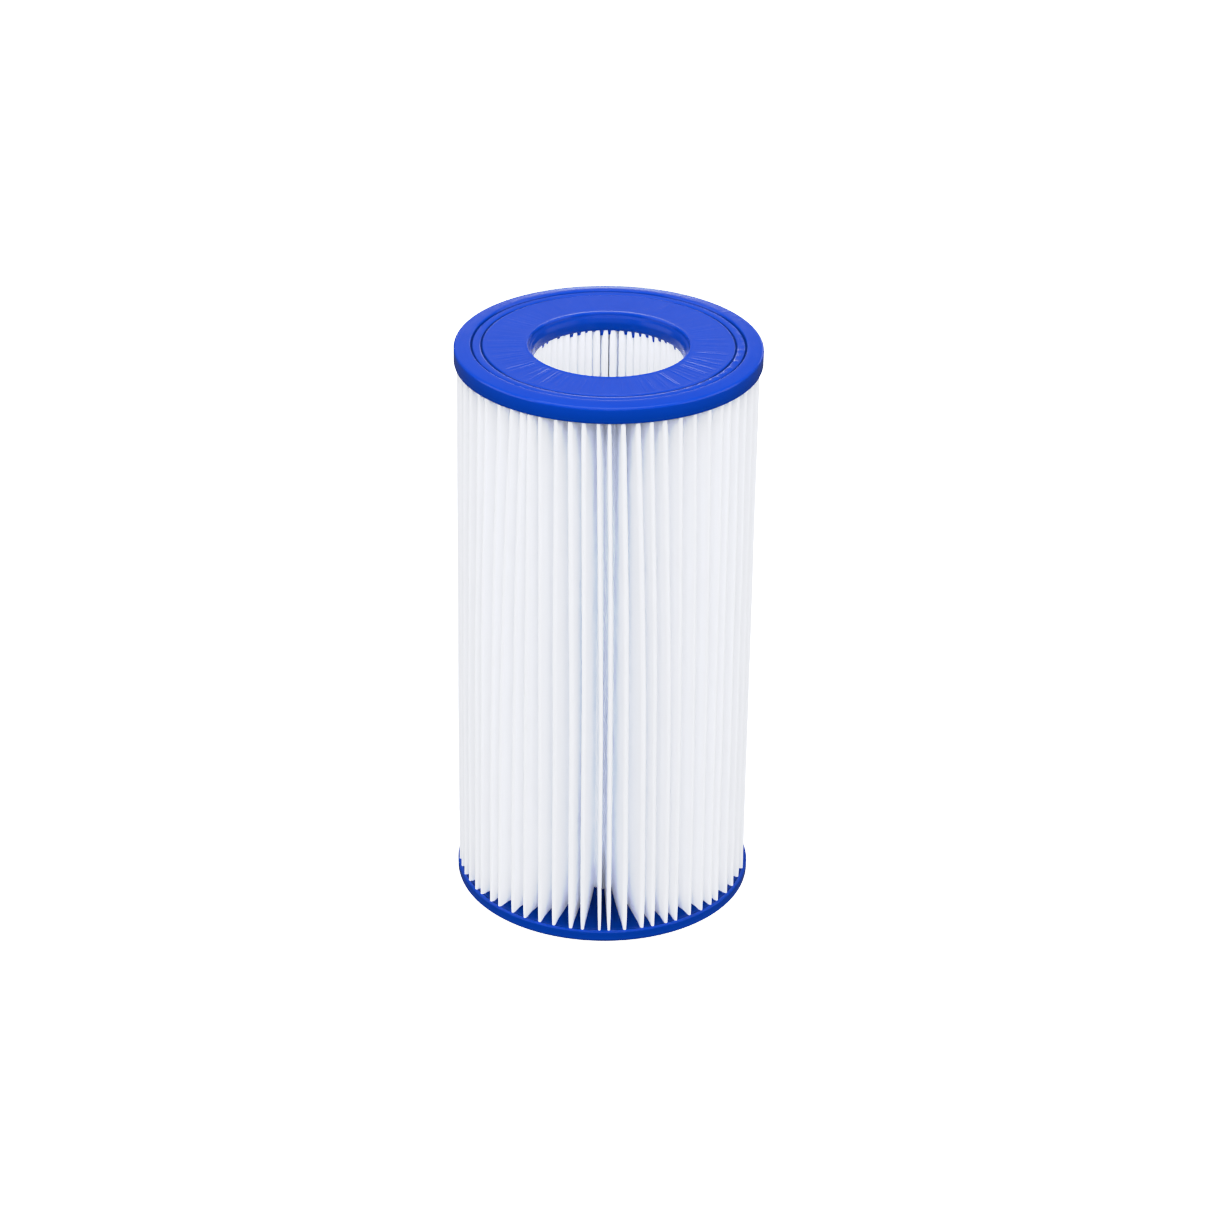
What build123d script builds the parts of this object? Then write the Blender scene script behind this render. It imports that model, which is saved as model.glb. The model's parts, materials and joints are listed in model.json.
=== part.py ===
"""Pleated filter cartridge: a folded fabric strip with both ends set in moulded end caps, open down the middle."""

import os
from math import cos, hypot, radians, sin, sqrt

from build123d import *

os.makedirs("parts", exist_ok=True)

# Overall sizes, in millimetres. The cartridge stands on Z = 0, centred on the Z axis.
height = 203.0
cap_diameter = 103.0
bore_diameter = 50.0

# End caps. Both come from one mould, with the grooved face outside, and the top one is filled deeper.
top_cap_thickness = 6.1
bottom_cap_thickness = 4.7
rim_width = 5.5
groove_width = 0.9
groove_depth = 0.95
band_width = 2.4
band_drop = 0.35
plateau_drop = 0.3
outer_edge_radius = 2.4
inner_edge_radius = 0.4
groove_mouth_radius = 0.35
band_edge_radius = 0.3
groove_floor_radius = 0.25
bore_lip_radius = 2.2

# Pleated strip. Its two ends meet side by side in one pleat, at the back.
pleat_count = 61
strip_thickness = 0.5
fold_radius = 0.6
tip_ledge = 1.0
inner_fold_setback = 0.5
floor_over_pleats = 2.5

# Glue bead that joins the two ends of the strip
bead_wrap = 0.2
bead_depth = 7.0

# Sizes that follow from the ones above
cap_radius = cap_diameter / 2
bore_radius = bore_diameter / 2
rim_inner_radius = cap_radius - rim_width
band_outer_radius = rim_inner_radius - groove_width
band_inner_radius = band_outer_radius - band_width
plateau_radius = band_inner_radius - groove_width
half_strip = strip_thickness / 2
tip_circle = cap_radius - tip_ledge - fold_radius - half_strip
root_circle = bore_radius + inner_fold_setback + fold_radius + half_strip
pitch = 360.0 / pleat_count
strip_height = height - 2 * floor_over_pleats


def around(radius, turns):
    """A point on a circle about the axis, that many pleats clockwise from the seam at +Y."""
    angle = radians(turns * pitch)
    return Vector(radius * sin(angle), radius * cos(angle))


def face_normal(tip, root, side):
    """Square to a pleat face that runs straight from one fold to the next, on the given side of the tip."""
    span = root - tip
    length = hypot(span.X, span.Y)
    along = span / length
    across = Vector(-along.Y, along.X) * side
    lean = 2 * fold_radius / length
    return along * lean + across * sqrt(1 - lean * lean)


def strip_side(offset):
    """Draws one surface of the strip, from end to end, and returns its two end points."""
    tip_radius = fold_radius + offset
    root_radius = fold_radius - offset
    leaving = face_normal(around(tip_circle, 0), around(root_circle, 0.5), 1)
    start = around(tip_circle, 0) + leaving * tip_radius
    here = start
    for pleat in range(pleat_count):
        last_tip = around(tip_circle, pleat)
        root = around(root_circle, pleat + 0.5)
        next_tip = around(tip_circle, pleat + 1)
        down = face_normal(last_tip, root, 1)
        up = face_normal(next_tip, root, -1)
        Line(here, root - down * root_radius)
        lowest = around(root_circle - root_radius, pleat + 0.5)
        ThreePointArc(root - down * root_radius, lowest, root - up * root_radius)
        Line(root - up * root_radius, next_tip + up * tip_radius)
        here = next_tip + up * tip_radius
        if pleat < pleat_count - 1:
            highest = around(tip_circle + tip_radius, pleat + 1)
            away = face_normal(next_tip, around(root_circle, pleat + 1.5), 1)
            ThreePointArc(here, highest, next_tip + away * tip_radius)
            here = next_tip + away * tip_radius
    return start, here


def cap_disc(face, thickness, outward):
    """One end cap before the pleats are set in it. Outward is 1 for the top cap and -1 for the bottom one."""
    inside = face - outward * thickness
    plateau = face - outward * plateau_drop
    band = face - outward * band_drop
    groove = face - outward * groove_depth
    corners = [
        (bore_radius, inside, 0),
        (cap_radius, inside, inner_edge_radius),
        (cap_radius, face, outer_edge_radius),
        (rim_inner_radius, face, groove_mouth_radius),
        (rim_inner_radius, groove, groove_floor_radius),
        (band_outer_radius, groove, groove_floor_radius),
        (band_outer_radius, band, band_edge_radius),
        (band_inner_radius, band, band_edge_radius),
        (band_inner_radius, groove, groove_floor_radius),
        (plateau_radius, groove, groove_floor_radius),
        (plateau_radius, plateau, groove_mouth_radius),
        (bore_radius, plateau, bore_lip_radius),
    ]
    with BuildSketch(Plane.XZ) as section:
        with BuildLine():
            Polyline(*[(x, z) for x, z, _ in corners], close=True)
        make_face()
        for x, z, radius in corners:
            if radius > 0:
                corner = section.vertices().sort_by_distance((x, z))[0]
                fillet(corner, radius=radius)
    revolve(section.sketch, axis=Axis.Z)


# The folded strip, one closed outline carried from cap to cap
with BuildPart() as pleated_media:
    with BuildSketch(Plane.XY.offset(floor_over_pleats)):
        with BuildLine():
            outer_start, outer_end = strip_side(half_strip)
            inner_start, inner_end = strip_side(-half_strip)
            Line(outer_start, inner_start)
            Line(outer_end, inner_end)
        make_face()
    extrude(amount=strip_height)
pleated_media.part.label = "pleated_media"
export_step(pleated_media.part, "parts/pleated_media.step")

# Glue between the two end flaps, with a rounded nose over their edges
with BuildPart() as seam_bead:
    with BuildSketch(Plane.XY.offset(floor_over_pleats)):
        with Locations((0, tip_circle)):
            Circle(fold_radius + half_strip + bead_wrap)
            Rectangle(2 * fold_radius, bead_depth, align=(Align.CENTER, Align.MAX))
    extrude(amount=strip_height)
    add(pleated_media.part, mode=Mode.SUBTRACT)
seam_bead.part.label = "seam_bead"
export_step(seam_bead.part, "parts/seam_bead.step")

# The caps are cast around the ends of the strip and of the glue bead
with BuildPart() as top_end_cap:
    cap_disc(height, top_cap_thickness, 1)
    add(pleated_media.part, mode=Mode.SUBTRACT)
    add(seam_bead.part, mode=Mode.SUBTRACT)
top_end_cap.part.label = "top_end_cap"
export_step(top_end_cap.part, "parts/top_end_cap.step")

with BuildPart() as bottom_end_cap:
    cap_disc(0, bottom_cap_thickness, -1)
    add(pleated_media.part, mode=Mode.SUBTRACT)
    add(seam_bead.part, mode=Mode.SUBTRACT)
bottom_end_cap.part.label = "bottom_end_cap"
export_step(bottom_end_cap.part, "parts/bottom_end_cap.step")
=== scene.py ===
"""Pleated filter cartridge: folded fabric, cast vinyl end caps and a glued seam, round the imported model."""

import json
from math import cos, pi, radians, sin

import bmesh
import bpy
import numpy as np
from bpy.props import FloatProperty, FloatVectorProperty, IntProperty, PointerProperty
from mathutils import Matrix, Vector


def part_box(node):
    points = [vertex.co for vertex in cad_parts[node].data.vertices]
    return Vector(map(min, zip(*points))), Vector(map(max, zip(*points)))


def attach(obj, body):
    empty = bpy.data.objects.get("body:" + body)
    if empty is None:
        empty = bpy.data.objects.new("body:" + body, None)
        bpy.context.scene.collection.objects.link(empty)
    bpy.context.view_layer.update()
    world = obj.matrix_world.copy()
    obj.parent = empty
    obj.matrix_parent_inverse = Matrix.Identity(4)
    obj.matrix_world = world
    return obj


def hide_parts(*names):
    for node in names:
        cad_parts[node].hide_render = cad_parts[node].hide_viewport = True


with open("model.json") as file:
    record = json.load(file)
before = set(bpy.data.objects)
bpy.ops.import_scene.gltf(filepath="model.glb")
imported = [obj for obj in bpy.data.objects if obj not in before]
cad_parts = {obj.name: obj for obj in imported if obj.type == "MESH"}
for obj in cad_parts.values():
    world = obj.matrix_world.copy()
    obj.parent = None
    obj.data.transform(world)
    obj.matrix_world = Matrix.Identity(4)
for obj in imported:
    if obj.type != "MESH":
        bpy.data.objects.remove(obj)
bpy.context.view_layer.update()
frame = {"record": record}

bl_info = {
    "name": "Pleated filter cartridge",
    "version": (1, 0, 0),
    "blender": (4, 5, 0),
    "location": "3D View > Sidebar > Cartridge",
    "description": "Builds the fabric, end caps, glued seam and studio of a pleated filter cartridge",
    "category": "Object",
}

MM = 0.001

# The inner folds are rounder than the outer ones, by this much
ROOT_ROUNDNESS = 1.35
# Each cap's inside face ends this far in from the edge, with a small rounding at the corner
LEDGE = 1.2 * MM
LEDGE_ROUNDING = 0.4 * MM
# The bore's lowest ring of points, up from the inside face
BORE_FOOT = 0.8 * MM

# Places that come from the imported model
bottom_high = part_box("bottom_end_cap")[1]
top_low, top_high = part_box("top_end_cap")
media_low, media_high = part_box("pleated_media")
bore_mounts = {m["name"]: m for m in frame["record"]["mounts"] if m["kind"] == "bore"}
cap_radius = float(top_high[0])
bore_radius = bore_mounts["top_bore"]["dims"]["r_mm"] * MM
bottom_floor = float(bottom_high[2])
top_ceiling = float(top_low[2])
overall_height = float(top_high[2])

# How far the folds stand off their even spacing, in degrees, at angles from the front. Plus is to the right.
FOLD_ANGLES = [-44, -38, -32, -27, -21, -15, -9, -3, 3, 9, 15, 21, 27, 32, 38, 44, 50, 56, 62, 68]
LOW_SHIFTS = [-0.9, 0.3, 0.5, 1.2, 1.3, 2.5, 1.3, 2.2, 0, 0.4]
LOW_SHIFTS += [1.6, 0, 0, -1.6, -0.6, -0.5, -0.8, -2.6, -1.6, -1.4]
HIGH_SHIFTS = [6.1, 4.6, 2, 0.6, 1.2, 0.8, 0, -0.5, -2.4, -3.1]
HIGH_SHIFTS += [-3.6, -4.4, -5, -4.6, -4.2, -3.3, -2.4, -3.6, -4, -3.4]


class CartridgeSizes(bpy.types.PropertyGroup):
    """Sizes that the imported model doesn't give by itself"""

    pleat_count: IntProperty(
        name="Pleats",
        description="Folds round the cartridge",
        default=61, min=20, max=90,
    )
    strip_thickness: FloatProperty(
        name="Fabric thickness",
        description="Thickness of the folded strip",
        default=0.5 * MM, unit="LENGTH", precision=5,
    )
    fold_radius: FloatProperty(
        name="Fold radius",
        description="Radius of each fold, to the middle of the fabric",
        default=0.6 * MM, unit="LENGTH", precision=5,
    )
    tip_ledge: FloatProperty(
        name="Ledge",
        description="Cap edge standing out past the folds",
        default=1.0 * MM, unit="LENGTH", precision=5,
    )
    inner_fold_setback: FloatProperty(
        name="Inner fold setback",
        description="From the bore wall to the inner folds",
        default=0.5 * MM, unit="LENGTH", precision=5,
    )
    rim_width: FloatProperty(
        name="Rim width",
        description="Raised rim of each cap",
        default=5.5 * MM, unit="LENGTH", precision=5,
    )
    groove_width: FloatProperty(
        name="Groove width",
        description="Fine ring grooves inside the rim",
        default=0.9 * MM, unit="LENGTH", precision=5,
    )
    groove_depth: FloatProperty(
        name="Groove depth",
        description="From the rim's face",
        default=0.95 * MM, unit="LENGTH", precision=5,
    )
    band_width: FloatProperty(
        name="Band width",
        description="Raised band between the two grooves",
        default=2.4 * MM, unit="LENGTH", precision=5,
    )
    band_drop: FloatProperty(
        name="Band drop",
        description="From the rim down to the band",
        default=0.35 * MM, unit="LENGTH", precision=5,
    )
    plateau_drop: FloatProperty(
        name="Plateau drop",
        description="From the rim down to the flat round the bore",
        default=0.3 * MM, unit="LENGTH", precision=5,
    )
    edge_radius: FloatProperty(
        name="Edge radius",
        description="Rounding of the top cap's outer edge",
        default=1.4 * MM, unit="LENGTH", precision=5,
    )
    foot_radius: FloatProperty(
        name="Foot radius",
        description="Rounding of the bottom cap's outer edge",
        default=1.95 * MM, unit="LENGTH", precision=5,
    )
    rim_fall: FloatProperty(
        name="Rim fall",
        description="How far the rim slopes down towards its outer edge",
        default=0.4 * MM, unit="LENGTH", precision=5,
    )
    lip_reach: FloatProperty(
        name="Lip reach",
        description="How much wider the bore's mouth is than the bore",
        default=2.2 * MM, unit="LENGTH", precision=5,
    )
    creep_height: FloatProperty(
        name="Vinyl creep",
        description="How far vinyl climbs the folds' roots",
        default=3.2 * MM, unit="LENGTH", precision=5,
    )


class CartridgeFinish(bpy.types.PropertyGroup):
    """Colours and gloss"""

    vinyl: FloatVectorProperty(
        name="Vinyl",
        description="Cast end caps",
        subtype="COLOR", default=(0.0002, 0.047, 0.360), min=0, max=1,
    )
    vinyl_roughness: FloatProperty(
        name="Vinyl roughness",
        description="Gloss of the caps",
        subtype="FACTOR", default=0.18, min=0, max=1,
    )
    fabric: FloatVectorProperty(
        name="Fabric",
        description="Folded filter fabric",
        subtype="COLOR", default=(0.965, 0.970, 0.982), min=0, max=1,
    )
    glue: FloatVectorProperty(
        name="Glue",
        description="Seam bead",
        subtype="COLOR", default=(0.78, 0.72, 0.56), min=0, max=1,
    )
    floor: FloatVectorProperty(
        name="Floor",
        description="Studio floor",
        subtype="COLOR", default=(0.95, 0.95, 0.95), min=0, max=1,
    )


def smooth(x):
    x = np.clip(x, 0, 1)
    return x * x * (3 - 2 * x)


class FoldPlan:
    """Where every fold of the strip runs, at any height. Angles are in radians from the front, plus right."""

    def __init__(self, sizes):
        self.count = n = sizes.pleat_count
        self.half = sizes.strip_thickness / 2
        self.fold = sizes.fold_radius
        self.root_fold = ROOT_ROUNDNESS * self.fold
        self.tip_circle = cap_radius - sizes.tip_ledge - self.fold - self.half
        self.root_circle = bore_radius + sizes.inner_fold_setback + self.root_fold + self.half
        rng = np.random.default_rng(11)
        even = -180 + 360 / n * np.arange(n + 1)
        jitter = rng.uniform(-1.1, 1.1, n + 1)
        fans = np.interp(even, [-95, -62, -44, -43, 67, 68, 110], [0, 4.0, 6.5, 0, 0, -2.0, 0])
        seen = (even > FOLD_ANGLES[0] - 2) & (even < FOLD_ANGLES[-1] + 2)
        low = np.where(seen, np.interp(even, FOLD_ANGLES, LOW_SHIFTS), jitter)
        high = np.where(seen, np.interp(even, FOLD_ANGLES, HIGH_SHIFTS), jitter + fans)
        low[[0, n]] = high[[0, n]] = 0
        self.low, self.high = radians(1) * (even + low), radians(1) * (even + high)
        middle = even[:-1] + 180 / n
        root_jitter = rng.uniform(-0.35, 0.35, n)
        root_jitter[[0, -1]] = (-0.35, 0.35)
        drift_low = np.clip((low[:-1] + low[1:]) / 4, -1.5, 1.5)
        drift_high = np.clip((high[:-1] + high[1:]) / 4, -2.2, 2.2)
        self.root_low = radians(1) * (middle + drift_low + root_jitter)
        self.root_high = radians(1) * (middle + drift_high + root_jitter)
        gap = np.degrees(np.minimum(np.diff(self.low), np.diff(self.high)))
        self.shallow = 7 * MM * smooth((5.3 - gap) / 1.6) * (np.abs(middle) < 30)
        self.reach = rng.uniform(-0.3, 0.12, n + 1) * MM
        self.width = rng.uniform(0.8, 1.12, n + 1) - 0.25 * (np.abs(even) < 4)
        self.swell = 0.5 * MM * np.exp(-(((even + 82) / 26) ** 2))
        self.bow = rng.uniform(-0.3, 0.3, n + 1) * MM
        self.belly = rng.uniform(0.0, 0.16, n + 1) * MM
        self.phase = rng.uniform(0, 2 * pi, (4, n + 1))
        for values in (self.reach, self.bow):
            values[[0, n]] = 0
        for values in (self.belly, self.bow):
            values[np.abs(even) < 7] = 0
        self.width[[0, n]] = 1

    def at(self, z):
        """Tip and root circles' centres and radii at heights z, each as an array of heights by folds."""
        z = np.atleast_1d(z)[:, None]
        s = np.clip((z - bottom_floor) / (top_ceiling - bottom_floor), 0, 1)
        down = 1 - s * s
        sway = radians(0.1) * np.sin(2 * pi * 1.3 * s + self.phase[0]) * np.sin(pi * s)
        tip = self.high + (self.low - self.high) * down + sway * (np.abs(np.abs(self.low) - pi) > 0.01)
        root = self.root_high + (self.root_low - self.root_high) * down
        low_pinch = 0.5 * np.exp(-(z - bottom_floor).clip(0) / (3.5 * MM))
        high_pinch = 0.25 * np.exp(-(top_ceiling - z).clip(0) / (2.5 * MM))
        pinch = 1 - low_pinch - high_pinch
        tip_fold = self.fold * self.width * pinch
        ripple = 0.07 * MM * np.sin(2 * pi * 2.1 * s + self.phase[1]) * np.sin(pi * s)
        swell = self.swell * smooth(1.6 * (1 - s))
        tip_reach = self.tip_circle + self.fold + self.reach + swell + ripple - tip_fold
        tips = np.stack([tip_reach * np.sin(tip), -tip_reach * np.cos(tip)], -1)
        above_floor = smooth((z - bottom_floor - 3 * MM) / (20 * MM))
        below_ceiling = smooth((top_ceiling - 2 * MM - z) / (14 * MM))
        root_reach = self.root_circle + self.shallow * above_floor * below_ceiling
        roots = np.stack([root_reach * np.sin(root), -root_reach * np.cos(root)], -1)
        return tips, roots, tip_fold

    def sides(self, z):
        """The straight middle line of both faces of every valley: face normals, tip ends and root ends."""
        tips, roots, fold = self.at(z)
        out = []
        for tip, radius, sign in ((tips[:, :-1], fold[:, :-1], 1), (tips[:, 1:], fold[:, 1:], -1)):
            span = roots - tip
            length = np.linalg.norm(span, axis=-1, keepdims=True)
            along = span / length
            across = np.stack([along[..., 1], -along[..., 0]], -1) * sign
            lean = (radius[..., None] + self.root_fold) / length
            normal = lean * along + np.sqrt(1 - lean**2) * across
            out.append((normal, tip + radius[..., None] * normal, roots - self.root_fold * normal))
        return out


def turned(direction, angle):
    c, s = np.cos(angle)[..., None], np.sin(angle)[..., None]
    x, y = direction[..., :1], direction[..., 1:]
    return np.concatenate([c * x - s * y, s * x + c * y], -1)


def swing(start, end):
    """The signed angle from one direction to another."""
    return np.arctan2(
        start[..., 0] * end[..., 1] - start[..., 1] * end[..., 0], (start * end).sum(-1)
    )


def new_piece(name, points, faces, material, smooth_shading=True):
    mesh = bpy.data.meshes.new(name)
    mesh.from_pydata(points, [], faces)
    mesh.validate()
    if smooth_shading:
        mesh.shade_smooth()
    piece = bpy.data.objects.new(name, mesh)
    bpy.context.scene.collection.objects.link(piece)
    mesh.materials.append(material)
    return piece


def face_outward(piece):
    work = bmesh.new()
    work.from_mesh(piece.data)
    bmesh.ops.recalc_face_normals(work, faces=work.faces)
    work.to_mesh(piece.data)
    work.free()


def grid_faces(rows, columns, start=0, wrap=False):
    """Quads of a grid of rows by columns of points."""
    r = np.arange(rows - 1)[:, None]
    c = np.arange(columns if wrap else columns - 1)[None, :]
    after = (c + 1) % columns
    below, above = r * columns, (r + 1) * columns
    quads = np.stack([below + c, below + after, above + after, above + c], -1)
    return (quads.reshape(-1, 4) + start).tolist()


# ---------------------------------------------------------------- finishes


def nodes_for(name):
    material = bpy.data.materials.new(name)
    material.use_nodes = True
    tree = material.node_tree
    return material, tree, tree.nodes["Principled BSDF"]


def link(tree, output, socket):
    tree.links.new(output, socket)


def noise(tree, where, scale, detail=3.0, roughness=0.5, distortion=0.0):
    n = tree.nodes.new("ShaderNodeTexNoise")
    n.inputs["Scale"].default_value = scale
    n.inputs["Detail"].default_value = detail
    n.inputs["Roughness"].default_value = roughness
    n.inputs["Distortion"].default_value = distortion
    link(tree, where, n.inputs["Vector"])
    return n.outputs["Fac"]


def stretched(tree, scale):
    """Object coordinates, scaled along each axis."""
    where = tree.nodes.new("ShaderNodeTexCoord")
    mapping = tree.nodes.new("ShaderNodeMapping")
    mapping.inputs["Scale"].default_value = scale
    link(tree, where.outputs["Object"], mapping.inputs["Vector"])
    return mapping.outputs["Vector"]


def remap(tree, value, low, high, to_low, to_high):
    n = tree.nodes.new("ShaderNodeMapRange")
    for socket, number in (("From Min", low), ("From Max", high), ("To Min", to_low), ("To Max", to_high)):
        n.inputs[socket].default_value = number
    link(tree, value, n.inputs["Value"])
    return n.outputs["Result"]


def tint(tree, factor, first, second):
    n = tree.nodes.new("ShaderNodeMix")
    n.data_type = "RGBA"
    n.inputs["A"].default_value = (*first, 1)
    n.inputs["B"].default_value = (*second, 1)
    link(tree, factor, n.inputs["Factor"])
    return n.outputs["Result"]


def bump(tree, height, distance, strength=1.0, under=None):
    n = tree.nodes.new("ShaderNodeBump")
    n.inputs["Distance"].default_value = distance
    n.inputs["Strength"].default_value = strength
    link(tree, height, n.inputs["Height"])
    if under is not None:
        link(tree, under, n.inputs["Normal"])
    return n.outputs["Normal"]


def shade(colour, amount):
    return tuple(min(1.0, c * amount) for c in colour)


def cast_vinyl(finish):
    """Soft cast vinyl: a satin skin with faint flow marks and dust-fine grain, with painted shade (a darker
    colour and weaker reflection) in its grooves, down the bore, low on the edge and among the folds.
    """
    material, tree, skin = nodes_for("cast_vinyl")
    here = stretched(tree, (1, 1, 1))
    cloud = noise(tree, here, 90, 4)
    open_skin = tint(tree, cloud, shade(finish.vinyl, 0.94), shade(finish.vinyl, 1.06))
    # Painted shade: where this attribute is high, the colour falls to about half and the reflection is nearly
    # turned off.
    painted_shade = tree.nodes.new("ShaderNodeAttribute")
    painted_shade.attribute_name = "painted_shade"
    shade_mix = tree.nodes.new("ShaderNodeMix")
    shade_mix.data_type = "RGBA"
    link(tree, painted_shade.outputs["Fac"], shade_mix.inputs["Factor"])
    link(tree, open_skin, shade_mix.inputs["A"])
    shade_mix.inputs["B"].default_value = (*shade(finish.vinyl, 0.48), 1)
    link(tree, shade_mix.outputs["Result"], skin.inputs["Base Color"])
    shine, dull_spots = finish.vinyl_roughness - 0.03, finish.vinyl_roughness + 0.05
    link(tree, remap(tree, noise(tree, here, 260, 3), 0.3, 0.7, shine, dull_spots), skin.inputs["Roughness"])
    link(tree, bump(tree, noise(tree, here, 85, 2, 0.4, 0.6), 0.00012, 0.3), skin.inputs["Normal"])
    link(tree, remap(tree, painted_shade.outputs["Fac"], 0, 1, 0.22, 0.02), skin.inputs["Specular IOR Level"])
    return material


def filter_fabric(finish):
    """Bonded fibre fabric: matt, with fine crossing fibres, thicker clouds and faint crease lines."""
    material, tree, cloth = nodes_for("filter_fabric")
    here = stretched(tree, (1, 1, 1))
    clouds = noise(tree, here, 120, 4, 0.6)
    thin, thick = shade(finish.fabric, 0.985), shade(finish.fabric, 1.008)
    link(tree, tint(tree, remap(tree, clouds, 0.3, 0.7, 0, 1), thin, thick), cloth.inputs["Base Color"])
    fibres = noise(tree, stretched(tree, (1, 1, 0.22)), 2600, 3, 0.6, 1.2)
    cross_fibres = noise(tree, stretched(tree, (0.5, 0.5, 1.6)), 1700, 2, 0.5, 1.5)
    first = bump(tree, fibres, 0.00004, 0.45)
    second = bump(tree, cross_fibres, 0.00004, 0.35, first)
    creases = noise(tree, stretched(tree, (1, 1, 0.03)), 520, 2)
    link(tree, bump(tree, creases, 0.00010, 0.3, second), cloth.inputs["Normal"])
    cloth.inputs["Roughness"].default_value = 0.85
    cloth.inputs["Specular IOR Level"].default_value = 0.2
    cloth.inputs["Sheen Weight"].default_value = 0.12
    cloth.inputs["Sheen Roughness"].default_value = 0.4
    return material


def melt_glue(finish):
    """Hot-melt glue: waxy, a little see-through at its thin edges."""
    material, tree, wax = nodes_for("melt_glue")
    here = stretched(tree, (1, 1, 1))
    cloud = noise(tree, here, 300, 3)
    thick, thin = shade(finish.glue, 0.88), shade(finish.glue, 1.08)
    link(tree, tint(tree, cloud, thick, thin), wax.inputs["Base Color"])
    drips = noise(tree, stretched(tree, (1, 1, 0.4)), 500, 2)
    link(tree, bump(tree, drips, 0.0001, 0.6), wax.inputs["Normal"])
    wax.inputs["Roughness"].default_value = 0.32
    wax.inputs["Subsurface Weight"].default_value = 0.15
    wax.inputs["Subsurface Scale"].default_value = 0.001
    return material


def studio_floor(finish):
    material, tree, paper = nodes_for("studio_floor")
    grain = noise(tree, stretched(tree, (1, 1, 1)), 400, 2)
    link(tree, tint(tree, grain, shade(finish.floor, 0.995), finish.floor), paper.inputs["Base Color"])
    paper.inputs["Roughness"].default_value = 0.9
    paper.inputs["Specular IOR Level"].default_value = 0.0
    paper.inputs["Emission Color"].default_value = (1, 1, 1, 1)
    paper.inputs["Emission Strength"].default_value = 1.2
    return material


# ---------------------------------------------------------------- fabric


def media_heights():
    """Heights of the rows of points up the strip, closer together near the caps."""
    low, high = float(media_low[2]), float(media_high[2])
    near = np.array([0, 0.4, 0.9, 1.6, 2.5, 3.6, 5.0, 7.0, 9.5, 13.0, 17.5]) * MM
    middle = np.linspace(bottom_floor + 23 * MM, top_ceiling - 23 * MM, 22)
    in_floor, in_ceiling = [low, (low + bottom_floor) / 2], [(high + top_ceiling) / 2, high]
    return np.concatenate([in_floor, bottom_floor + near, middle, (top_ceiling - near)[::-1], in_ceiling])


def strip_line(plan, z, face_steps=6, arc_steps=6):
    """The strip's middle line from end to end at each height, with its normals."""
    tips, roots, fold = plan.at(z)
    (down, down_tip, down_root), (up, up_tip, up_root) = plan.sides(z)
    s = np.clip((np.atleast_1d(z) - bottom_floor) / (top_ceiling - bottom_floor), 0, 1)[:, None]
    envelope = np.sin(pi * s) ** 0.5
    along = np.linspace(0, 1, face_steps + 1)[None, None, :, None]
    arch = np.sin(pi * along)
    points, normals = [], []

    def face(start, end, normal, which, sign):
        wave = np.cos(2 * pi * 0.8 * s + plan.phase[2][which]) * envelope
        push = (sign * plan.bow[which] * wave + plan.belly[which] * envelope)[..., None, None]
        spread = np.repeat(normal[:, :, None], face_steps + 1, 2)
        return start[:, :, None] * (1 - along) + end[:, :, None] * along + push * arch * spread, spread

    def arc(centre, radius, first, last, out):
        share = np.linspace(0, 1, arc_steps + 1)[1:-1]
        a, b = swing(out, first)[..., None], swing(out, last)[..., None]
        turn = a * (1 - share) + b * share
        way = turned(np.repeat(out[:, :, None], len(share), 2), turn)
        return centre[:, :, None] + np.reshape(radius, (*np.shape(radius), 1, 1)) * way, way

    n = plan.count
    first, last = np.arange(n), np.arange(1, n + 1)
    going_in, in_normals = face(down_tip, down_root, down, first, 1)
    inward = -roots / np.linalg.norm(roots, axis=-1, keepdims=True)
    root_radius = np.full(roots.shape[:2], plan.root_fold)
    round_root, root_way = arc(roots, root_radius, -down, -up, inward)
    coming_out, out_normals = face(up_root, up_tip, up, last, -1)
    inner_tips = tips[:, 1:-1]
    outward = inner_tips / np.linalg.norm(inner_tips, axis=-1, keepdims=True)
    round_tip, tip_way = arc(inner_tips, fold[:, 1:-1], up[:, :-1], down[:, 1:], outward)
    for j in range(n):
        points += [going_in[:, j], round_root[:, j], coming_out[:, j]]
        normals += [in_normals[:, j], -root_way[:, j], out_normals[:, j]]
        if j < n - 1:
            points.append(round_tip[:, j])
            normals.append(tip_way[:, j])
    return np.concatenate(points, 1), np.concatenate(normals, 1)


def build_media(plan, material):
    z = media_heights()
    line, normals = strip_line(plan, z)
    rows, columns = line.shape[:2]
    height = np.repeat(z[:, None], columns, 1)[..., None]
    outer = np.concatenate([line + normals * plan.half, height], -1).reshape(-1, 3)
    inner = np.concatenate([line - normals * plan.half, height], -1).reshape(-1, 3)
    skip = rows * columns
    faces = grid_faces(rows, columns) + [f[::-1] for f in grid_faces(rows, columns, skip)]
    for row in (0, rows - 1):
        a = row * columns
        for c in range(columns - 1):
            quad = [a + c, skip + a + c, skip + a + c + 1, a + c + 1]
            faces.append(quad if row == 0 else quad[::-1])
    for column in (0, columns - 1):
        for r in range(rows - 1):
            a, b = r * columns + column, (r + 1) * columns + column
            quad = [a, b, skip + b, skip + a]
            faces.append(quad if column == 0 else quad[::-1])
    piece = new_piece("pleated_fabric", np.concatenate([outer, inner]).tolist(), faces, material)
    face_outward(piece)
    middle = rows // 2
    developed = np.linalg.norm(np.diff(line[middle], axis=0), axis=1).sum()
    return piece, float(developed), float(z[-1] - z[0])


# ---------------------------------------------------------------- end caps


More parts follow.
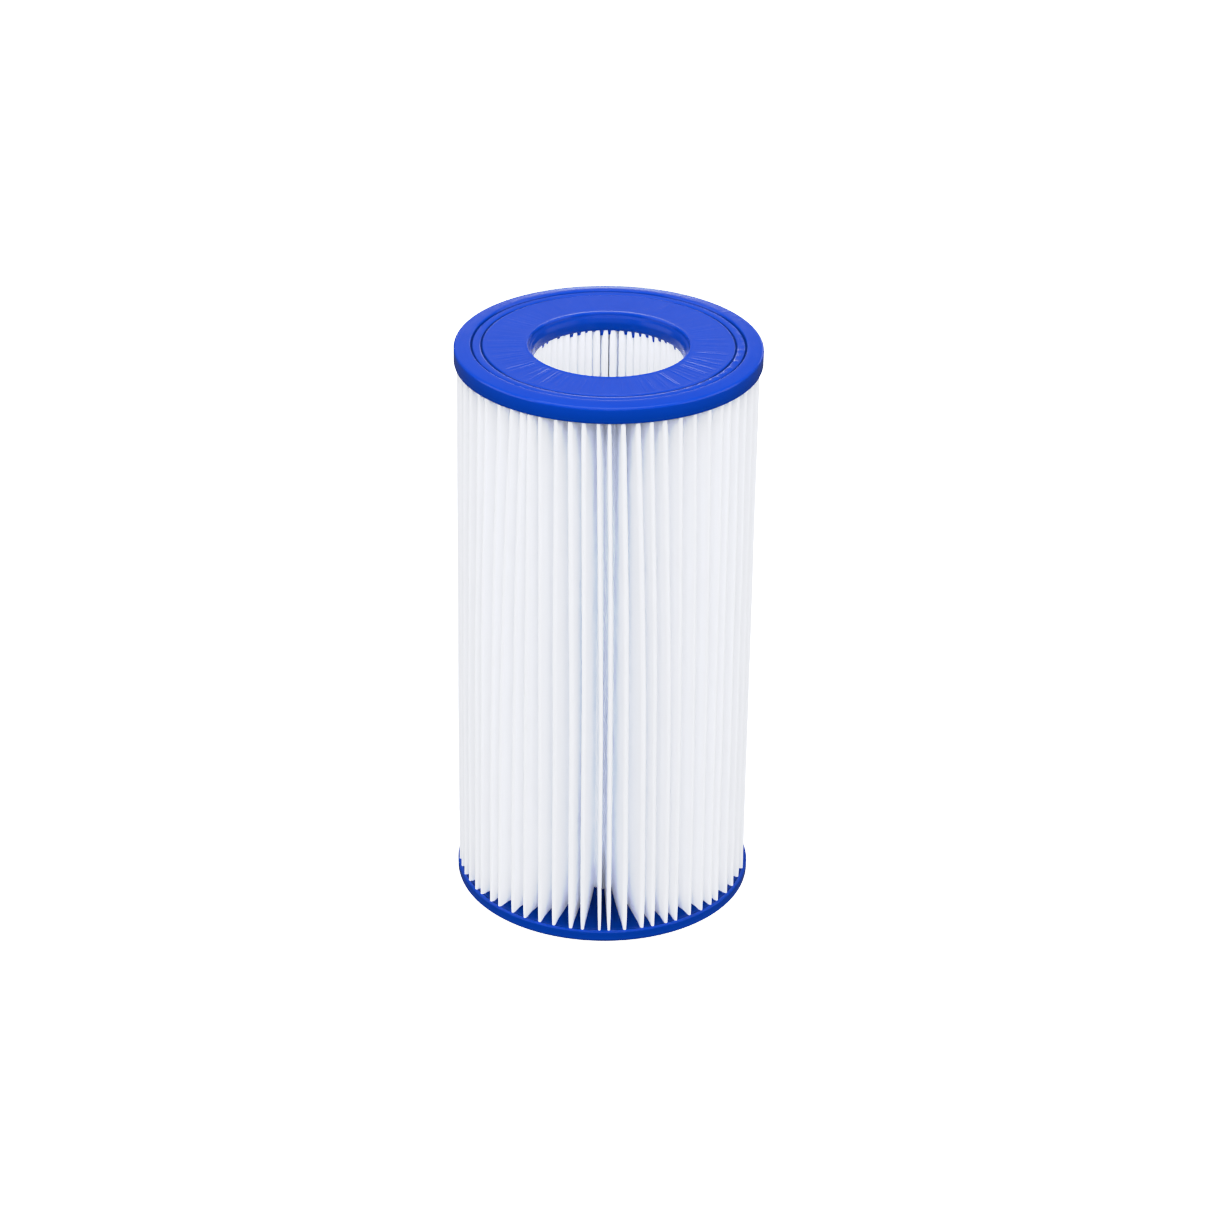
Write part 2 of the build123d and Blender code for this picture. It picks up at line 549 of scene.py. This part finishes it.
# The bore's mouth, from the plateau in: millimetres out from its crest, and below the plateau
LIP = [(0.9, 0.0), (0.5, -0.03), (0.2, -0.1), (0.0, -0.12), (-0.14, -0.06), (-0.24, 0.1)]
LIP += [(-0.32, 0.4), (-0.4, 0.8), (-0.5, 1.05), (-0.7, 1.22), (-1.0, 1.3), (-1.25, 1.38)]
LIP += [(-1.45, 1.55), (-1.6, 1.85), (-1.8, 2.2), (-2.0, 2.6), (-2.15, 3.0)]


def groove(start, width, before, after, deep, steps=9):
    """Points across a rounded groove: distance from the axis, and depth below the rim."""
    share = np.linspace(0, 1, steps)
    edge = before + (after - before) * share
    return list(zip(start + width * share, edge + (deep - edge) * (1 - np.abs(2 * share - 1) ** 1.5)))


def cap_rings(sizes):
    """Distances from the axis of the rim's and band's edges, the flat's edge and the bore's mouth."""
    rim = cap_radius - sizes.rim_width
    band_outer = rim - sizes.groove_width
    band_inner = band_outer - sizes.band_width
    return rim, band_outer, band_inner, band_inner - sizes.groove_width, bore_radius + sizes.lip_reach


def cap_outline(sizes, face, inside, outward):
    """A cap's section from the bore over the outside face to the ledge: distances from the axis, heights."""
    rim, band_outer, band_inner, plateau, mouth = cap_rings(sizes)
    thickness = abs(face - inside)
    flat, band, deep = sizes.plateau_drop, sizes.band_drop, sizes.groove_depth
    points = [(bore_radius, thickness - BORE_FOOT), (bore_radius, flat + 3.4 * MM)]
    points += [(mouth + r * MM, flat + d * MM) for r, d in LIP[::-1]]
    points += [(plateau - r * MM, flat - d * MM) for r, d in ((0.6, 0), (0.3, 0.04), (0.1, 0))]
    points += groove(plateau, sizes.groove_width, flat + 0.05 * MM, band + 0.1 * MM, deep)
    middle = (band_inner + band_outer) / 2
    points += [(band_inner + 0.35 * MM, band), (middle, band - 0.05 * MM), (band_outer - 0.35 * MM, band)]
    points += groove(band_outer, sizes.groove_width, band + 0.1 * MM, 0.08 * MM, deep)
    points += [(rim + 0.12 * MM, 0.02 * MM), (rim + 0.35 * MM, 0.0), (rim + 1.3 * MM, 0.05 * MM)]
    rounding = (sizes.edge_radius if outward > 0 else sizes.foot_radius) - sizes.rim_fall
    round_start = cap_radius - rounding
    points += [((rim + round_start) / 2 + 0.4 * MM, sizes.rim_fall * 0.5)]
    for turn in np.linspace(0.09, pi / 2, 12):
        points.append((round_start + rounding * sin(turn), sizes.rim_fall + rounding * (1 - cos(turn))))
    for turn in np.linspace(0, pi / 2, 4):
        inward, upward = LEDGE_ROUNDING * (1 - cos(turn)), LEDGE_ROUNDING * (1 - sin(turn))
        points.append((cap_radius - inward, thickness - upward))
    points.append((cap_radius - LEDGE, thickness))
    outline = np.array(points)
    outline[:, 1] = face - outward * outline[:, 1]
    return fill_in(outline, 1.0 * MM)


def cap_columns(plan, z):
    """For each column of points round a cap, how to find its angle, and which gap it crosses."""
    (down, down_tip, down_root), (up, up_tip, up_root) = plan.sides(np.array([z]))
    lines = []
    for j in range(plan.count):
        lines.append((down_tip[0, j], down_root[0, j]))
        lines.append((up_tip[0, j], up_root[0, j]))
    return lines


def line_angles(lines, radius):
    """The angle of every face line where it crosses a circle about the axis, from the back to the back."""
    tips = np.array([a for a, _ in lines])
    roots = np.array([b for _, b in lines])
    tip_r, root_r = np.linalg.norm(tips, axis=1), np.linalg.norm(roots, axis=1)
    goal = np.clip(radius, root_r, tip_r)
    low, high = np.zeros(len(lines)), np.ones(len(lines))
    for _ in range(24):
        t = (low + high) / 2
        r = np.linalg.norm(roots + (tips - roots) * t[:, None], axis=1)
        low, high = np.where(r < goal, t, low), np.where(r < goal, high, t)
    spot = roots + (tips - roots) * ((low + high) / 2)[:, None]
    angles = np.arctan2(spot[:, 0], -spot[:, 1])
    return np.unwrap(angles)


def build_cap(plan, sizes, name, face, inside, outward, material, seed):
    """One closed casting: grooved outside face, edge, inside face with vinyl crept up the folds, and bore."""
    rng = np.random.default_rng(seed)
    outline = cap_outline(sizes, face, inside, outward)
    inner_radii = np.concatenate(
        [
            np.array([cap_radius - 1.6 * MM]),
            np.linspace(plan.tip_circle + 0.6 * MM, plan.tip_circle - 0.4 * MM, 4),
            np.linspace(plan.tip_circle - 1.4 * MM, plan.root_circle + 2.0 * MM, 14),
            np.array([1.2, 0.5, 0.0, -0.35, -0.6, -0.8, -1.0]) * MM + plan.root_circle,
            np.array([bore_radius + 0.12 * MM, bore_radius]),
        ]
    )
    inner_radii = inner_radii[inner_radii <= cap_radius - LEDGE]
    rows = [(r, z, False) for r, z in outline] + [(r, inside, True) for r in inner_radii]
    lines = cap_columns(plan, inside)
    n = plan.count
    gap_factor = rng.uniform(0.55, 1.25, 2 * n)
    tooth = 0.5 + 2.5 * rng.random(2 * n) ** 1.4
    bead = rng.uniform(0.4, 1.0, 2 * n)
    streak = rng.normal(0, 1, 2 * n)
    vertices, painted_shade = [], []
    for radius, z, on_inside in rows:
        at = line_angles(lines, radius)
        after = np.append(at[1:], at[0] + 2 * pi)
        gap = (after - at) * radius
        ring_angle, ring_height = [], []
        for share, side in ((0, 0), (0.30, 1), (0.62, 2), (0.5, 3), (-0.62, 2), (-0.30, 1)):
            if side == 3:
                part = np.full(2 * n, 0.5)
            else:
                step = np.minimum(abs(share) * MM / gap, 0.18 * side)
                part = step if share >= 0 else 1 - step
            angle = at + (after - at) * part
            across = np.minimum(part, 1 - part) * gap
            valley = np.arange(2 * n) % 2 == 0
            if on_inside:
                height = creep(plan, sizes, radius, gap, across, valley, gap_factor, tooth)
                if radius <= bore_radius + 0.2 * MM or radius >= cap_radius - 0.5 * MM:
                    height = height * 0
                level = inside - outward * height
            else:
                level = z + outward * telegraph(sizes, radius, angle, across, valley, streak, bead)
            ring_angle.append(angle)
            ring_height.append(np.broadcast_to(level, angle.shape))
        ring_angle = np.stack(ring_angle, 1).ravel()
        ring_height = np.stack(ring_height, 1).ravel()
        ring = [radius * np.sin(ring_angle), -radius * np.cos(ring_angle), ring_height]
        vertices.append(np.stack(ring, -1))
        # Painted shade amount for each ring: among the folds on the inside face, and in the grooves, down the
        # bore and low on the edge outside.
        if on_inside:
            among_folds = (plan.root_circle - 1.0 * MM, plan.tip_circle + 0.6 * MM)
            shade_amount = window(radius, *among_folds, 1.2 * MM)
        else:
            shade_amount = outside_shade(sizes, radius, abs(face - z), abs(face - inside))
        painted_shade.append(np.full(len(ring_angle), shade_amount))
    columns = len(vertices[0])
    vertices = np.concatenate(vertices)
    faces = grid_faces(len(rows), columns, wrap=True)
    last = (len(rows) - 1) * columns
    for c in range(columns):
        d = (c + 1) % columns
        faces.append([last + c, last + d, d, c])
    piece = new_piece(name, vertices.tolist(), faces, material)
    shaded = piece.data.attributes.new("painted_shade", "FLOAT", "POINT")
    shaded.data.foreach_set("value", np.concatenate(painted_shade).astype(np.float32))
    face_outward(piece)
    return piece


def fill_in(outline, step):
    """Adds points along the long straight runs of an outline."""
    full = [outline[0]]
    for a, b in zip(outline[:-1], outline[1:]):
        parts = max(1, int(np.ceil(np.linalg.norm(b - a) / step)))
        full += [a + (b - a) * k / parts for k in range(1, parts + 1)]
    return np.array(full)


def creep(plan, sizes, radius, gap, across, valley, gap_factor, tooth):
    """How far the vinyl has climbed: high where the fabric faces are close together, low in the open."""
    open_gap = np.maximum(gap - 2 * plan.half, 0.2 * MM)
    narrow = sizes.creep_height * np.clip(0.75 * MM / open_gap, 0.0, 1.0) ** 1.3 * gap_factor
    touch = 0.4 * MM * np.exp(-np.maximum(across - plan.half, 0) / (0.35 * MM))
    outside = narrow + touch
    within = tooth * MM
    if radius < plan.root_circle:
        depth = (plan.root_circle - radius) / (plan.root_circle - bore_radius)
        front = 1 - smooth((depth - 0.35) / 0.45)
        return np.where(valley, (0.15 + 0.5 * gap_factor) * MM * (1 - depth), within * front)
    keep = smooth((plan.tip_circle - 0.3 * MM - radius) / (2.2 * MM))
    return np.where(valley, outside, within) * keep


def window(radius, low, high, fade):
    """1 between two distances from the axis, falling to 0 at each."""
    return float(smooth((radius - low) / fade) * smooth((high - radius) / fade))


def outside_shade(sizes, radius, depth, thickness):
    """How much painted shade a cap's outside skin gets: most in the grooves, some down the bore and low on
    the edge.
    """
    rim, _, _, plateau, _ = cap_rings(sizes)
    if radius < bore_radius + 1.9 * MM:
        return 0.5 * float(smooth((depth - sizes.plateau_drop - 0.3 * MM) / (0.5 * MM)))
    if radius > cap_radius - 0.6 * MM:
        return 0.4 * float(smooth(depth / thickness))
    if plateau < radius < rim:
        return float(smooth((depth - 0.45 * MM) / (0.35 * MM)))
    return 0.0


def telegraph(sizes, radius, angle, across, valley, streak, bead):
    """Shallow marks of the pleats showing through the cast face."""
    rim, band_outer, band_inner, plateau, mouth = cap_rings(sizes)
    turn = np.degrees((angle + pi) % (2 * pi) - pi)
    right = np.exp(-(((turn - 48) / 36) ** 2))
    left = np.exp(-(((turn + 48) / 24) ** 2))
    ridge = np.exp(-((across / (0.5 * MM)) ** 2))
    far = np.clip((radius - mouth) / (plateau - mouth), 0, 1)
    reach = 0.2 + 1.0 * right * (1 - 0.3 * far) + 1.0 * left * (1 - 0.9 * far)
    on_flat = window(radius, mouth + 0.4 * MM, plateau - 0.5 * MM, 2.0 * MM)
    marks = 0.10 * MM * reach * (ridge * (0.9 + 0.8 * streak) - 0.3) * on_flat
    beads = ridge * bead * 0.32 * MM * np.exp(-(((turn - 62) / 44) ** 2))
    marks = marks + beads * window(radius, band_inner, band_outer, 1.0 * MM)
    rim_marks = 0.02 * MM * streak * ridge * np.exp(-(((turn - 128) / 30) ** 2))
    return marks + rim_marks * window(radius, rim + 0.5 * MM, cap_radius - 1.0 * MM, 1.5 * MM)


# ---------------------------------------------------------------- glued seam


def build_seam(plan, material):
    """Glue between the strip's two end flaps, squeezed out into a wavering rounded nose at the back."""
    rng = np.random.default_rng(5)
    low, high = float(media_low[2]) + 0.2 * MM, float(media_high[2]) - 0.2 * MM
    z = np.linspace(low, high, 150)
    waves = (0.11, 0.23, 0.41, 0.77)
    waver = sum(rng.uniform(0.3, 1) * np.sin(z * f / MM + rng.uniform(0, 6.3)) for f in waves) / 2
    tip = plan.tip_circle
    nose = plan.fold + plan.half + (0.28 + 0.16 * waver) * MM
    slack = plan.fold - plan.half
    vertices = []
    for height, radius, wave in zip(z, nose, waver):
        drift = 0.12 * MM * wave
        web = 7.0 * MM + 0.8 * MM * wave
        ring = [(-slack * 0.9, tip - web), (slack * 0.9, tip - web)]
        ring += [(slack * 0.96, tip - web / 2), (slack, tip - 0.9 * MM)]
        for t in np.linspace(-0.32 * pi, 1.32 * pi, 15):
            ring.append((radius * cos(t) + drift, tip + radius * sin(t) * 0.9))
        ring += [(-slack, tip - 0.9 * MM), (-slack * 0.96, tip - web / 2)]
        vertices += [(x, y, height) for x, y in ring]
    columns = len(ring)
    faces = grid_faces(len(z), columns, wrap=True)
    faces.append(list(range(columns)))
    faces.append(list(range((len(z) - 1) * columns, len(z) * columns)))
    piece = new_piece("seam_glue", vertices, faces, material)
    face_outward(piece)
    return piece


# ---------------------------------------------------------------- operators


class BuildMedia(bpy.types.Operator):
    """Fold the filter fabric"""

    bl_idname = "cartridge.build_media"
    bl_label = "Pleated fabric"

    def execute(self, context):
        scene = context.scene
        plan = FoldPlan(scene.cartridge_sizes)
        piece, developed, width = build_media(plan, filter_fabric(scene.cartridge_finish))
        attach(piece, "root")
        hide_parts("pleated_media")
        return {"FINISHED"}


class BuildCaps(bpy.types.Operator):
    """Cast both end caps round the ends of the folds"""

    bl_idname = "cartridge.build_caps"
    bl_label = "End caps"

    def execute(self, context):
        scene = context.scene
        sizes = scene.cartridge_sizes
        plan = FoldPlan(sizes)
        vinyl = cast_vinyl(scene.cartridge_finish)
        castings = (
            ("cast_cap_top", "top_end_cap", overall_height, top_ceiling, 1, 3),
            ("cast_cap_bottom", "bottom_end_cap", 0.0, bottom_floor, -1, 4),
        )
        for name, node, face, inside, outward, seed in castings:
            piece = build_cap(plan, sizes, name, face, inside, outward, vinyl, seed)
            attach(piece, "root")
            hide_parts(node)
        return {"FINISHED"}


class BuildSeam(bpy.types.Operator):
    """Glue the strip's two ends together at the back"""

    bl_idname = "cartridge.build_seam"
    bl_label = "Glued seam"

    def execute(self, context):
        scene = context.scene
        piece = build_seam(FoldPlan(scene.cartridge_sizes), melt_glue(scene.cartridge_finish))
        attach(piece, "root")
        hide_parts("seam_bead")
        return {"FINISHED"}


class BuildStage(bpy.types.Operator):
    """Floor, soft light and camera"""

    bl_idname = "cartridge.build_stage"
    bl_label = "Studio"

    def execute(self, context):
        scene = context.scene
        half = 30.0
        corners = [(-half, -half, 0), (half, -half, 0), (half, half, 0), (-half, half, 0)]
        floor = new_piece("floor", corners, [(0, 1, 2, 3)], studio_floor(scene.cartridge_finish), False)
        floor.location.z = -0.00005
        floor.visible_diffuse = False
        floor.visible_glossy = False
        light_room(scene)
        softbox("overhead", (-0.1, -0.2, 1.6), (0, 0, 0.1), (1.5, 1.5), 18.5)
        softbox("front_fill", (0.1, -1.7, 1.1), (0, 0, 0.1), (2.0, 1.6), 38.0).visible_glossy = False
        softbox("left_side", (-1.6, -0.3, 0.7), (0, 0, 0.1), (1.6, 1.4), 16.0)
        softbox("right_side", (1.6, -0.3, 0.7), (0, 0, 0.1), (1.6, 1.4), 14.0)
        softbox("low_back", (0.4, 2.0, 0.46), (0, 0, 0.2), (2.4, 0.2), 6.0)
        softbox("high_back", (-0.5, 1.7, 1.0), (0, 0, 0.2), (1.6, 0.7), 0.5)
        place_camera(scene)
        scene.view_settings.view_transform = "Standard"
        scene.view_settings.look = "None"
        soften_whites(scene.view_settings)
        scene.cycles.max_bounces = 32
        scene.cycles.diffuse_bounces = 32
        return {"FINISHED"}


DAYLIGHT = (0.94, 0.97, 1.06)
TONE_TOP = 1.4
TONES = [(0.1, 0.095), (0.3, 0.29), (0.5, 0.53), (0.65, 0.71), (0.8, 0.79), (1.0, 0.86), (1.2, 0.925)]


def soften_whites(view):
    """Rolls the brightest tones off gently, so white cloth keeps its shape."""
    view.use_curve_mapping = True
    tones = view.curve_mapping
    tones.white_level = (TONE_TOP, TONE_TOP, TONE_TOP)
    curve = tones.curves[3]
    for light, tone in TONES:
        curve.points.new(light / TONE_TOP, tone)
    tones.update()


def light_room(scene):
    """An even white room that gets darker below the horizon."""
    world = scene.world or bpy.data.worlds.new("studio")
    scene.world = world
    world.use_nodes = True
    tree = world.node_tree
    sky = tree.nodes["Background"]
    sky.inputs["Color"].default_value = (*DAYLIGHT, 1)
    where = tree.nodes.new("ShaderNodeTexCoord")
    split = tree.nodes.new("ShaderNodeSeparateXYZ")
    link(tree, where.outputs["Generated"], split.inputs["Vector"])
    link(tree, remap(tree, split.outputs["Z"], -0.15, 0.4, 0.12, 0.34), sky.inputs["Strength"])


def softbox(name, where, towards, size, power):
    lamp = bpy.data.lights.new(name, "AREA")
    lamp.shape = "RECTANGLE"
    lamp.size, lamp.size_y = size
    lamp.energy = power
    lamp.color = DAYLIGHT
    holder = bpy.data.objects.new(name, lamp)
    holder.location = where
    holder.rotation_euler = (Vector(towards) - Vector(where)).to_track_quat("-Z", "Y").to_euler()
    bpy.context.scene.collection.objects.link(holder)
    return holder


def place_camera(scene):
    """Looks down at the front from about four feet away, with a slight tilt of the frame."""
    down, tilt = radians(27.65), radians(-0.74)
    distance, aim_height = 1.2047, 0.09815
    shift_right, shift_up = 0.0006, 0.0054
    forward = Vector((0, cos(down), -sin(down)))
    up, right = Vector((0, sin(down), cos(down))), Vector((1, 0, 0))
    frame_right = right * cos(tilt) - up * sin(tilt)
    frame_up = right * sin(tilt) + up * cos(tilt)
    place = Vector((0, 0, aim_height)) - forward * distance + frame_right * shift_right + frame_up * shift_up
    camera = bpy.data.cameras.new("camera")
    camera.sensor_width = 36
    camera.lens = 103.49
    camera.clip_start = 0.05
    camera.clip_end = 20
    holder = bpy.data.objects.new("camera", camera)
    holder.matrix_world = Matrix(
        (
            (frame_right.x, frame_up.x, -forward.x, place.x),
            (frame_right.y, frame_up.y, -forward.y, place.y),
            (frame_right.z, frame_up.z, -forward.z, place.z),
            (0, 0, 0, 1),
        )
    )
    scene.collection.objects.link(holder)
    scene.camera = holder


class CartridgePanel(bpy.types.Panel):
    """Sizes, colours and build steps"""

    bl_idname = "VIEW3D_PT_cartridge"
    bl_label = "Filter cartridge"
    bl_space_type = "VIEW_3D"
    bl_region_type = "UI"
    bl_category = "Cartridge"

    def draw(self, context):
        for group in (context.scene.cartridge_sizes, context.scene.cartridge_finish):
            for key in group.__annotations__:
                self.layout.prop(group, key)
        for step in STEPS:
            self.layout.operator(step.bl_idname)


STEPS = (BuildMedia, BuildCaps, BuildSeam, BuildStage)
CLASSES = (CartridgeSizes, CartridgeFinish, *STEPS, CartridgePanel)


def register():
    for cls in CLASSES:
        bpy.utils.register_class(cls)
    bpy.types.Scene.cartridge_sizes = PointerProperty(type=CartridgeSizes)
    bpy.types.Scene.cartridge_finish = PointerProperty(type=CartridgeFinish)


def unregister():
    del bpy.types.Scene.cartridge_finish
    del bpy.types.Scene.cartridge_sizes
    for cls in reversed(CLASSES):
        bpy.utils.unregister_class(cls)


def main():
    register()
    bpy.ops.cartridge.build_caps()
    bpy.ops.cartridge.build_media()
    bpy.ops.cartridge.build_seam()
    bpy.ops.cartridge.build_stage()


if __name__ == "__main__":
    main()
